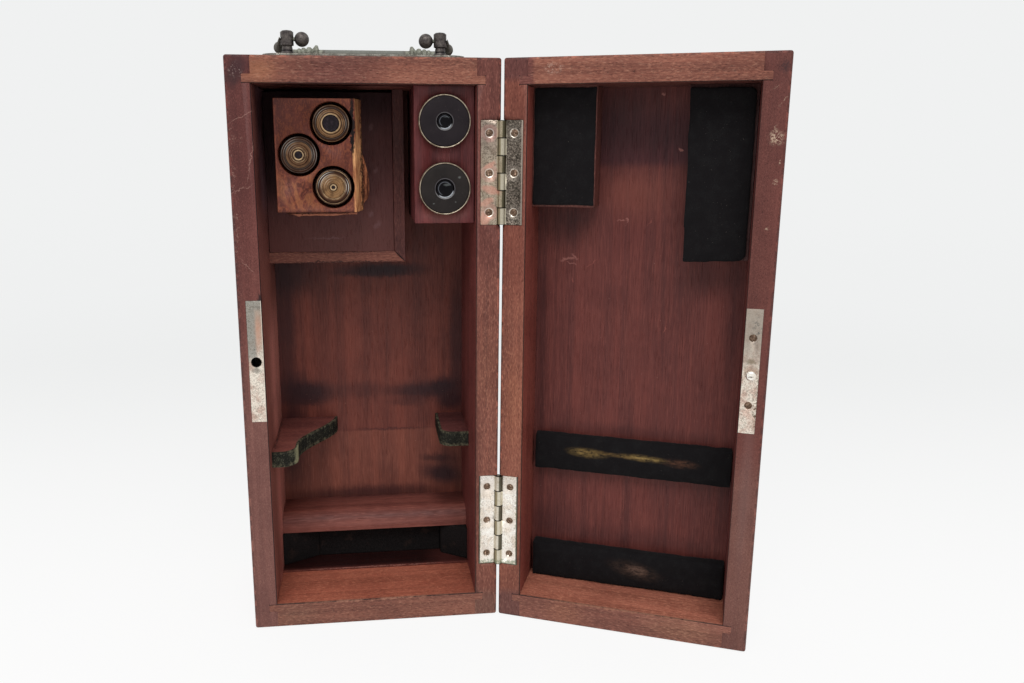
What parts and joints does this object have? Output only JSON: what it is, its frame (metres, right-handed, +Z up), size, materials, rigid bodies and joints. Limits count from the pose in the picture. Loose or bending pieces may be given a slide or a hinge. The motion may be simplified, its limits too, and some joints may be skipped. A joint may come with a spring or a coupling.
{
  "type": "hinged instrument case",
  "caption": "Tall wooden microscope case in two halves, hinged like a book, with fitted accessory blocks, felted brackets, a mortise lock and a drop handle.",
  "frame": {"origin": "centre of the back half's underside, which stands on the table", "axes": "+X across the back half towards the hinges, +Y from its open front to its back panel, +Z up"},
  "size_m": [0.3573, 0.1699, 0.4124],
  "materials": {
    "mahogany": "worn French polish",
    "rim_wood": "worn, open grain",
    "red_wood": "worn polish",
    "dark_wood": "dark stain, satin",
    "light_wood": "satin polish, raw where broken",
    "brass": "lacquered, aged",
    "black_cap": "satin black lacquer",
    "lens_glass": "clear",
    "green_felt": "worn felt",
    "black_velvet": "worn velvet",
    "pitted_nickel": "nickel plate, pitted and stained",
    "dark_nickel": "nickel plate, darkened",
    "iron": "bare, dull",
    "dark_bronze": "oxidised",
    "verdigris_brass": "grey-green oxide"
  },
  "bodies": {
    "case": {"case_left_side": "mahogany", "case_right_side": "mahogany", "case_top": "rim_wood", "case_bottom": "rim_wood", "case_back_panel": "red_wood", "accessory_shelf": "mahogany", "accessory_upright": "mahogany", "accessory_panel": "dark_wood", "objective_block": "light_wood", "objective_low_power": "brass", "objective_mid_power": "brass", "objective_high_power": "brass", "objective_lenses": "lens_glass", "eyepiece_block": "red_wood", "eyepiece_upper_barrel": "brass", "eyepiece_upper_cap": "black_cap", "eyepiece_lower_barrel": "brass", "eyepiece_lower_cap": "black_cap", "eyepiece_lenses": "lens_glass", "left_bracket": "mahogany", "left_bracket_felt": "green_felt", "right_bracket": "mahogany", "right_bracket_felt": "green_felt", "foot_clamp_bar": "mahogany", "foot_board": "red_wood", "foot_guide_left": "black_velvet", "foot_guide_right": "black_velvet", "foot_stop": "black_velvet", "lock_faceplate": "pitted_nickel", "lock_case": "iron", "lock_spring": "iron", "keyhole_escutcheon": "brass", "handle_plate": "dark_nickel", "handle_posts": "dark_bronze", "handle_nuts": "brass", "upper_hinge_case_leaf": "pitted_nickel", "lower_hinge_case_leaf": "pitted_nickel", "hinge_pins": "iron", "case_hinge_screws": "dark_bronze"},
    "door": {"upper_hinge_door_leaf": "dark_nickel", "lower_hinge_door_leaf": "pitted_nickel", "door_hinge_screws": "dark_bronze", "door_hinge_side": "mahogany", "door_lock_side": "mahogany", "door_top": "rim_wood", "door_bottom": "rim_wood", "door_panel": "red_wood", "eyepiece_pad_block": "mahogany", "eyepiece_pad_velvet": "black_velvet", "objective_pad_board": "dark_wood", "objective_pad_velvet": "black_velvet", "middle_pad": "black_velvet", "bottom_pad": "black_velvet", "catch_plate": "pitted_nickel", "catch_stud": "pitted_nickel", "catch_screws": "dark_bronze"},
    "handle": {"handle_bail": "verdigris_brass", "handle_finials": "dark_bronze"},
    "bolt": {"lock_bolt": "brass"}
  },
  "joints": [
    {"name": "door_hinge", "type": "hinge", "parent": "case", "child": "door", "pos_m": [0.08815, -0.04915, 0.0753], "axis": [0, 0, 1], "range_deg": [-157, 23]},
    {"name": "handle_pivot", "type": "hinge", "parent": "case", "child": "handle", "pos_m": [0, -0.02715, 0.4067], "axis": [1, 0, 0], "range_deg": [0, 200]},
    {"name": "bolt_slide", "type": "slide", "parent": "case", "child": "bolt", "axis": [0, 0, -1], "range_m": [0, 0.0055]}
  ]
}
